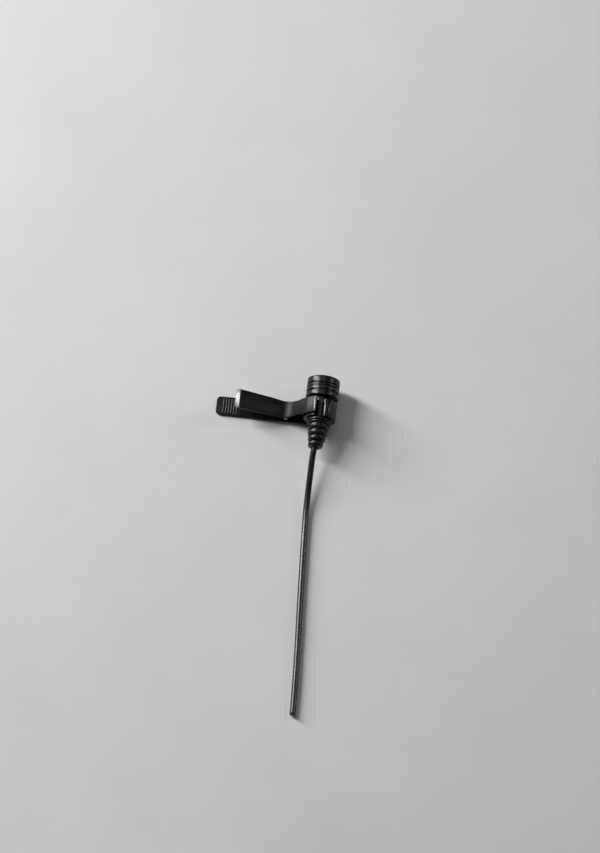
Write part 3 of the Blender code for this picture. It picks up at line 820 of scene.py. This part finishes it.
def build_head(materials):
    outline = [(FACE_INSIDE, 0), (FACE_INSIDE, HEAD_BORE, 0.2), (HEAD_REAR, HEAD_BORE, 0.1),
               (HEAD_REAR, HEAD_RADIUS, HEAD_REAR_ROUNDING)]
    for y, width, depth in GROOVES:
        half_floor = width * GROOVE_FLOOR_SHARE
        outline += [
            (y - width / 2, HEAD_RADIUS, GROOVE_EDGE_ROUNDING),
            (y - half_floor, HEAD_RADIUS - depth, GROOVE_FLOOR_ROUNDING),
            (y + half_floor, HEAD_RADIUS - depth, GROOVE_FLOOR_ROUNDING),
            (y + width / 2, HEAD_RADIUS, GROOVE_EDGE_ROUNDING),
        ]
    outline.append((HEAD_FRONT, HEAD_RADIUS, HEAD_EDGE_ROUNDING))
    outline += [(HEAD_FRONT, radius) for radius in FACE_LOOPS]
    cap = make_piece("ribbed_head", [spun(filleted(outline), closed=False)], materials["head_black"])
    centres = [(0.0, 0.0)]
    for step in range(SOUND_HOLE_COUNT):
        angle = math.tau * step / SOUND_HOLE_COUNT
        centres.append((SOUND_HOLE_CIRCLE * math.cos(angle), SOUND_HOLE_CIRCLE * math.sin(angle)))
    bore = [(FACE_INSIDE - 0.5, 0), (FACE_INSIDE - 0.5, SOUND_HOLE_RADIUS)]
    bore += [(HEAD_FRONT - depth, SOUND_HOLE_RADIUS + wider) for depth, wider in SOUND_HOLE_LIP]
    bore.append((bore[-1][0], 0))
    holes = [spun(bore, 40, (x, AXIS_HEIGHT + z), closed=False) for x, z in centres]
    carve(cap, make_piece("sound_holes", holes, materials["head_black"]))
    belongs(cap, "microphone", "head_black", "head_cap")


def build_screen(materials):
    """A woven wire disc held in a rolled rim, behind the sound holes."""
    curve = bpy.data.curves.new("woven_screen", "CURVE")
    curve.dimensions = "3D"
    curve.bevel_depth = SCREEN_WIRE * MM
    curve.bevel_resolution = 1
    curve.use_fill_caps = True
    count = int(SCREEN_RADIUS / SCREEN_PITCH)
    for warp in (True, False):
        for row in range(-count, count + 1):
            offset = row * SCREEN_PITCH
            crossings = int(math.sqrt(SCREEN_RADIUS ** 2 - offset ** 2) / SCREEN_PITCH)
            if crossings < 1:
                continue
            spline = curve.splines.new("POLY")
            spline.points.add(4 * crossings)
            for index, target in enumerate(spline.points):
                step = index / 2 - crossings
                wave = math.cos(math.pi * (step + row)) * (1 if warp else -1)
                across = (step * SCREEN_PITCH, offset) if warp else (offset, step * SCREEN_PITCH)
                where = place(across[0], SCREEN_Y + wave * SCREEN_WIRE, AXIS_HEIGHT + across[1])
                target.co = (*where, 1.0)
    curve.materials.append(materials["screen_mesh"])
    mesh_disc = bpy.data.objects.new("woven_screen", curve)
    bpy.context.collection.objects.link(mesh_disc)
    belongs(mesh_disc, "microphone", "screen_mesh", "front_screen")
    front, rear = SCREEN_Y + RIM_HALF_THICKNESS, SCREEN_Y - RIM_HALF_THICKNESS
    rim = [(front, RIM_INNER, 0.03), (front, RIM_OUTER, 0.06), (rear, RIM_OUTER, 0.06),
           (rear, RIM_INNER, 0.03)]
    looped = filleted([rim[-1], *rim, rim[0]])[1:-1]
    frame_ring = make_piece("screen_rim", [spun(looped, 96)], materials["screen_mesh"])
    belongs(frame_ring, "microphone", "screen_mesh")


def build_body(materials):
    outline = filleted([*SHELL_OUTLINE, SHELL_OUTLINE[0]])[:-1]
    body = make_piece("body_tube", [spun(outline)], materials["head_black"])
    belongs(body, "microphone", "head_black", "body_shell")


def boot_radius(y):
    share = (y - BOOT_START) / (BOOT_END - BOOT_START)
    return BOOT_RADIUS_START + (BOOT_RADIUS_END - BOOT_RADIUS_START) * share


def build_boot(materials):
    """Ribs that taper to the tip, each a little crowned between narrow grooves."""
    corners = [
        (BOOT_FLANGE_FRONT, BOOT_BORE, 0.1),
        (BOOT_FLANGE_FRONT, BOOT_FLANGE, BOOT_FLANGE_ROUNDING),
        (BOOT_FLANGE_REAR, BOOT_FLANGE, BOOT_FLANGE_ROUNDING),
        (BOOT_FLANGE_REAR, BOOT_NECK),
        (BOOT_SEAT, BOOT_NECK),
        (BOOT_SEAT, BOOT_BASE_RADIUS, 0.16),
        (BOOT_BASE_END, BOOT_BASE_RADIUS, 0.2),
        (BOOT_BASE_END - 0.05, BOOT_RADIUS_START - 0.35, 0.1),
    ]
    rib_starts = [BOOT_BASE_END - 0.1] + [groove - BOOT_GROOVE_WIDTH / 2 for groove in BOOT_GROOVES]
    rib_ends = [groove + BOOT_GROOVE_WIDTH / 2 for groove in BOOT_GROOVES] + [BOOT_END]
    for start, end in zip(rib_starts, rib_ends):
        middle = (start + end) / 2
        corners += [
            (start, boot_radius(start) - RIB_EDGE_DROP, RIB_EDGE_ROUNDING),
            (middle, boot_radius(middle) + BOOT_CROWN, RIB_CROWN_ROUNDING),
            (end, boot_radius(end) - RIB_EDGE_DROP, RIB_EDGE_ROUNDING),
        ]
        if end != BOOT_END:
            floor = boot_radius(end) - BOOT_GROOVE_DEPTH
            corners += [
                (end - GROOVE_WALL, floor, 0.05),
                (end - BOOT_GROOVE_WIDTH + GROOVE_WALL, floor, 0.05),
            ]
    corners.append((BOOT_END, BOOT_BORE, 0.2))
    corners += [(BOOT_END + (BOOT_START - BOOT_END) * step / 4, BOOT_BORE) for step in range(1, 5)]
    outline = filleted([*corners, corners[0]])[:-1]
    boot = make_piece("ribbed_boot", [spun(outline)], materials["boot_rubber"])
    reach = (BOOT_START - BOOT_END) * MM
    origin = place(0, BOOT_START, 0).y
    for vertex in boot.data.vertices:
        past = max(0.0, (origin - vertex.co.y) / reach)
        vertex.co.x -= BOOT_LEAN * MM * past ** 2
        vertex.co.z -= BOOT_LEAN * MM * past ** 2
    belongs(boot, "microphone", "boot_rubber", "strain_relief")


def build_cord(materials):
    """The jacket, with its bore open at the cut end, and the two cores and braid inside it."""
    path = smooth_route(CORD_ROUTE, CORD_POINTS)
    total = line_length(path)
    spacing = total / (CORD_POINTS - 1)
    profile = [(0.0, CORD_RADIUS - 0.1), (0.1, CORD_RADIUS)]
    profile += [(spacing * step, CORD_RADIUS) for step in range(1, CORD_POINTS - 1)]
    profile += [
        (total - 0.12, CORD_RADIUS),
        (total - 0.04, CORD_RADIUS - 0.03),
        (total, CORD_RADIUS - 0.1),
        (total, JACKET_BORE + 0.03),
        (total - 0.04, JACKET_BORE),
        (total - JACKET_STRIPPED, JACKET_BORE),
    ]
    jacket = make_piece("cord_jacket_tube", [swept(path, profile, 32)], materials["cord_jacket"])
    belongs(jacket, "microphone", "cord_jacket", "cable")

    tail = path[-1] - path[-2]
    along = tail.normalized()
    side = Vector((0, 0, 1)).cross(along).normalized()
    up = along.cross(side)
    end = path[-1] - along * CORE_RECESS
    cores = []
    for name, sign, material in (("signal_core", 1, "wire_red"), ("ground_core", -1, "wire_white")):
        centre = end + side * CORE_RADIUS * 1.08 * sign
        line = [centre - along * CORE_LENGTH, centre - along * CORE_LENGTH / 2, centre]
        rings = [(0.0, CORE_RADIUS), (0.84, CORE_RADIUS), (CORE_LENGTH, CORE_RADIUS - 0.05),
                 (CORE_LENGTH, 0.12)]
        core = make_piece(name, [swept(line, rings, 20)], materials[material])
        belongs(core, "microphone", material)
        strand_line = [centre - along * 0.1, centre, centre + along * 0.12]
        strand_rings = [(0.0, STRAND_RADIUS), (0.2, STRAND_RADIUS), (0.22, STRAND_RADIUS - 0.04)]
        strand = make_piece(f"{name}_strands", [swept(strand_line, strand_rings, 12)],
                            materials["copper_core"])
        belongs(strand, "microphone", material)
        cores += [core, strand]
    braid = []
    for step in range(BRAID_COUNT):
        angle = math.tau * step / BRAID_COUNT
        centre = end + (side * math.cos(angle) + up * math.sin(angle)) * BRAID_CIRCLE
        line = [centre - along * CORE_LENGTH, centre - along * 0.4, centre + along * 0.08]
        braid.append(swept(line, [(0.0, BRAID_RADIUS), (0.93, BRAID_RADIUS), (0.98, 0.03)], 8))
    shield = make_piece("cord_shield", braid, materials["copper_core"])
    belongs(shield, "microphone", "cord_jacket")


# --- Clip ---

def bent_line(start, angle, bends, step):
    """Straight runs, each followed by a round bend, as points of x and z."""
    point = Vector(start)
    heading = math.radians(angle)
    line = [point.copy()]
    for run, radius, turn in bends:
        if run:
            point += run * Vector((math.cos(heading), math.sin(heading)))
            line.append(point.copy())
        count = max(8, math.ceil(math.radians(abs(turn)) * radius / step))
        share = math.radians(turn) / count
        chord = 2 * radius * math.sin(abs(share) / 2)
        for _ in range(count):
            middle = heading + share / 2
            point += chord * Vector((math.cos(middle), math.sin(middle)))
            heading += share
            line.append(point.copy())
    return line


def ear(side, outer, base):
    """A plate beside the hinge pin: half round at one end, straight sides to its lever."""
    low, high = sorted((CLIP_Y + side * (outer - SHEET), CLIP_Y + side * outer))
    first, last = (180, 360) if base > PIN_HEIGHT else (0, 180)
    outline = arc((PIN_X, PIN_HEIGHT), EAR_RADIUS, first, last, EAR_STEPS)
    flare = math.copysign(EAR_FLARE, outline[-1].x - outline[0].x)
    outline += [Vector((outline[-1].x + flare, base)), Vector((outline[0].x - flare, base))]
    return extruded(outline, low, high, EAR_ROUNDING)


def build_upper_lever(materials):
    line = bent_line(UPPER_START, UPPER_START_ANGLE, UPPER_BENDS, BEND_STEP)
    parts = [strip(line, UPPER_WIDTHS)]
    parts += [ear(side, UPPER_EAR_OUTER, UPPER_EAR_TOP) for side in (-1, 1)]
    lever = make_piece("pinch_lever", parts, materials["lever_black"])
    belongs(lever, "upper_clip", "clip_black", "upper_lever")


def build_collar(materials):
    """A thick C round the microphone's shell, open at the top, with a bead along its free end."""
    centre = Vector((0.0, AXIS_HEIGHT))
    bead = Vector(BEAD_CENTRE)
    reach = bead - centre
    share = (COLLAR_RADIUS ** 2 - BEAD_RADIUS ** 2 + reach.length_squared) / (2 * reach.length)
    towards_bead = math.degrees(math.atan2(reach.x, reach.y))
    joint = towards_bead + math.degrees(math.acos(share / COLLAR_RADIUS))
    free_end, held_end = COLLAR_ENDS
    outline = arc(centre, COLLAR_RADIUS, 90 - joint, 90 - held_end, COLLAR_OUTER_STEPS)
    outline += arc(centre, COLLAR_BORE, 90 - held_end, 90 - free_end, COLLAR_BORE_STEPS)
    meeting = outline[0] - bead
    bead_end = math.degrees(math.atan2(meeting.y, meeting.x))
    outline += arc(bead, BEAD_RADIUS, BEAD_START, bead_end, BEAD_STEPS)[:-1]
    band = extruded(outline, -COLLAR_HALF_LENGTH, COLLAR_HALF_LENGTH, COLLAR_ROUNDING, 4)
    collar = make_piece("sprung_collar", [band], materials["collar_black"])
    belongs(collar, "upper_clip", "collar_black", "collar")


def build_lower_lever(materials):
    half = LOWER_HALF_WIDTH
    outline = []
    for x, y, first, radius in (
        (FINGER_END + PAD_CORNER, half - PAD_CORNER, 90, PAD_CORNER),
        (FINGER_END + PAD_CORNER, -half + PAD_CORNER, 180, PAD_CORNER),
        (JAW_END - JAW_CORNER, -half + JAW_CORNER, 270, JAW_CORNER),
        (JAW_END - JAW_CORNER, half - JAW_CORNER, 0, JAW_CORNER),
    ):
        outline += arc((x, y), radius, first, first + 90, 14)
    plate = bmesh.new()
    face = plate.faces.new([plate.verts.new(place(x, CLIP_Y + y, 0)) for x, y in outline])
    made = bmesh.ops.extrude_face_region(plate, geom=[face])["geom"]
    moved = [item for item in made if isinstance(item, bmesh.types.BMVert)]
    bmesh.ops.translate(plate, verts=moved, vec=Vector((0, 0, LOWER_SHEET)) * MM)
    round_edges(plate, LOWER_ROUNDING, 4)
    parts = [plate]
    for step in range(PAD_RIDGE_COUNT):
        x = PAD_RIDGE_START + step * PAD_RIDGE_PITCH
        parts.append(bar(x, half - PAD_RIDGE_MARGIN, PAD_RIDGE_HALF_WIDTH, PAD_RIDGE_HEIGHT))
    for x in JAW_RIDGES:
        parts.append(bar(x, half - JAW_RIDGE_MARGIN, JAW_RIDGE_HALF_WIDTH, JAW_RIDGE_HEIGHT))
    parts += [ear(side, LOWER_EAR_OUTER, LOWER_SHEET - LOWER_EAR_SUNK) for side in (-1, 1)]
    lever = make_piece("base_lever", parts, materials["clip_black"])
    belongs(lever, "lower_clip", "clip_black", "lower_lever")


def build_pin(materials):
    """The hinge pin, its two ends peened into low domes."""
    face = UPPER_EAR_OUTER + 0.06
    half_outline = [(0.0, PIN_RADIUS), (face, PIN_RADIUS), (face, PIN_HEAD_RADIUS, 0.05)]
    half_outline += [(face + 0.12, PIN_HEAD_RADIUS - 0.02, 0.08),
                     (PIN_HALF_LENGTH - 0.06, PIN_HEAD_RADIUS - 0.35, 0.3), (PIN_HALF_LENGTH, 0.0)]
    half = filleted(half_outline, 6)
    line = [(-y, radius) for y, radius in reversed(half)] + [tuple(point) for point in half[1:]]
    outline = [(CLIP_Y + y, radius) for y, radius in line]
    pin = make_piece("peened_pin", [spun(outline, 48, (PIN_X, PIN_HEIGHT), closed=False)],
                     materials["spring_steel"])
    belongs(pin, "lower_clip", "spring_steel", "hinge_pin")


def build_spring(materials):
    """A torsion spring round the pin: one leg along the lower lever, one along the upper."""
    coil_start = CLIP_Y - COIL_TURNS * COIL_PITCH / 2
    slope = math.radians(SPRING_LEG_RISE)
    turns = COIL_TURNS - slope / math.tau
    low = PIN_HEIGHT - COIL_RADIUS
    points = []
    for step in range(SPRING_LEG_STEPS, 0, -1):
        points.append(Vector((PIN_X - SPRING_LEG * step / SPRING_LEG_STEPS, coil_start, low)))
    count = round(turns * COIL_STEPS)
    for step in range(count + 1):
        angle = math.tau * turns * step / count
        points.append(Vector((
            PIN_X + COIL_RADIUS * math.sin(angle),
            coil_start + COIL_PITCH * turns * step / count,
            PIN_HEIGHT - COIL_RADIUS * math.cos(angle),
        )))
    direction = Vector((-math.cos(slope), 0, math.sin(slope)))
    end = points[-1]
    for step in range(1, SPRING_LEG_STEPS + 1):
        points.append(end + direction * SPRING_LEG * step / SPRING_LEG_STEPS)
    total = line_length(points)
    even = resampled(points, [total * step / WIRE_STEPS for step in range(WIRE_STEPS + 1)])
    profile = [(0.0, WIRE_RADIUS - WIRE_CHAMFER), (WIRE_CHAMFER, WIRE_RADIUS)]
    profile += [(total * step / WIRE_STEPS, WIRE_RADIUS) for step in range(1, WIRE_STEPS)]
    profile += [(total - WIRE_CHAMFER, WIRE_RADIUS), (total, WIRE_RADIUS - WIRE_CHAMFER)]
    spring = make_piece("wire_spring", [swept(even, profile, 12)], materials["spring_steel"])
    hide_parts("torsion_spring")
    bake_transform(spring)


# --- Pieces kept from the CAD model ---

KEPT_NODES = {
    "dust_felt": "dust_felt",
    "capsule_sleeve": "sleeve_rubber",
    "capsule_can": "capsule_aluminium",
    "diaphragm_ring": "capsule_brass",
    "diaphragm": "diaphragm_film",
    "spacer_ring": "insulator",
    "backplate": "capsule_brass",
    "backplate_holder": "insulator",
    "field_effect_transistor": "component_black",
    "capsule_board": "circuit_board",
    "solder_pad_signal": "solder",
    "solder_pad_ground": "solder",
    "signal_wire": "wire_red",
    "ground_wire": "wire_white",
    "cable_crimp": "capsule_brass",
}


def dress_kept_nodes(materials):
    for name, material in KEPT_NODES.items():
        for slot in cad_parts[name].material_slots:
            slot.material = materials[material]


# --- Floor, light and camera ---

def build_floor():
    bm = bmesh.new()
    bmesh.ops.create_grid(bm, x_segments=2, y_segments=2, size=FLOOR_SIZE)
    floor = make_piece("floor", [bm], paper("floor_paper"))
    floor.location.z = -FLOOR_DROP


def add_light(name, size, angle, bearing, distance, power):
    """A rectangular lamp aimed at the microphone: angle from straight up, bearing from +X."""
    light = bpy.data.lights.new(name, "AREA")
    light.shape = "RECTANGLE"
    light.size, light.size_y = size
    light.energy = power
    lamp = bpy.data.objects.new(name, light)
    bpy.context.collection.objects.link(lamp)
    tilt, turn = math.radians(angle), math.radians(bearing)
    towards = Vector((math.sin(tilt) * math.cos(turn), math.sin(tilt) * math.sin(turn), math.cos(tilt)))
    lamp.location = place(*LIGHT_AIM) + towards * distance
    lamp.rotation_euler = towards.to_track_quat("Z", "Y").to_euler()


def build_lights():
    world = bpy.data.worlds.new("studio")
    world.use_nodes = True
    background = world.node_tree.nodes["Background"]
    background.inputs["Color"].default_value = (1.0, 1.0, 1.0, 1.0)
    background.inputs["Strength"].default_value = WORLD_STRENGTH
    bpy.context.scene.world = world
    bpy.context.scene.view_settings.view_transform = "Standard"
    for settings in LIGHTS:
        add_light(*settings)


def build_camera():
    azimuth, elevation = math.radians(VIEW_AZIMUTH), math.radians(VIEW_ELEVATION)
    right = Vector((math.cos(azimuth), math.sin(azimuth), 0))
    back = Vector((math.sin(azimuth) * math.cos(elevation), -math.cos(azimuth) * math.cos(elevation),
                   math.sin(elevation)))
    up = back.cross(right)
    aim = place(0, 0, AXIS_HEIGHT) - (right * VIEW_LEFT + up * VIEW_BELOW) * MM
    data = bpy.data.cameras.new("camera")
    data.sensor_fit = "HORIZONTAL"
    data.sensor_width = VIEW_SENSOR
    data.lens = VIEW_LENS
    data.clip_start = VIEW_NEAR
    data.clip_end = VIEW_FAR
    camera = bpy.data.objects.new("camera", data)
    bpy.context.collection.objects.link(camera)
    camera.matrix_world = Matrix.Translation(aim + back * VIEW_DISTANCE * MM) @ Matrix((
        (right.x, up.x, back.x, 0),
        (right.y, up.y, back.y, 0),
        (right.z, up.z, back.z, 0),
        (0, 0, 0, 1),
    ))
    bpy.context.scene.camera = camera


def main():
    materials = make_materials()
    build_camera()
    build_lights()
    build_floor()
    build_cord(materials)
    build_boot(materials)
    build_body(materials)
    build_head(materials)
    build_screen(materials)
    build_collar(materials)
    build_upper_lever(materials)
    build_lower_lever(materials)
    build_pin(materials)
    build_spring(materials)
    dress_kept_nodes(materials)


main()
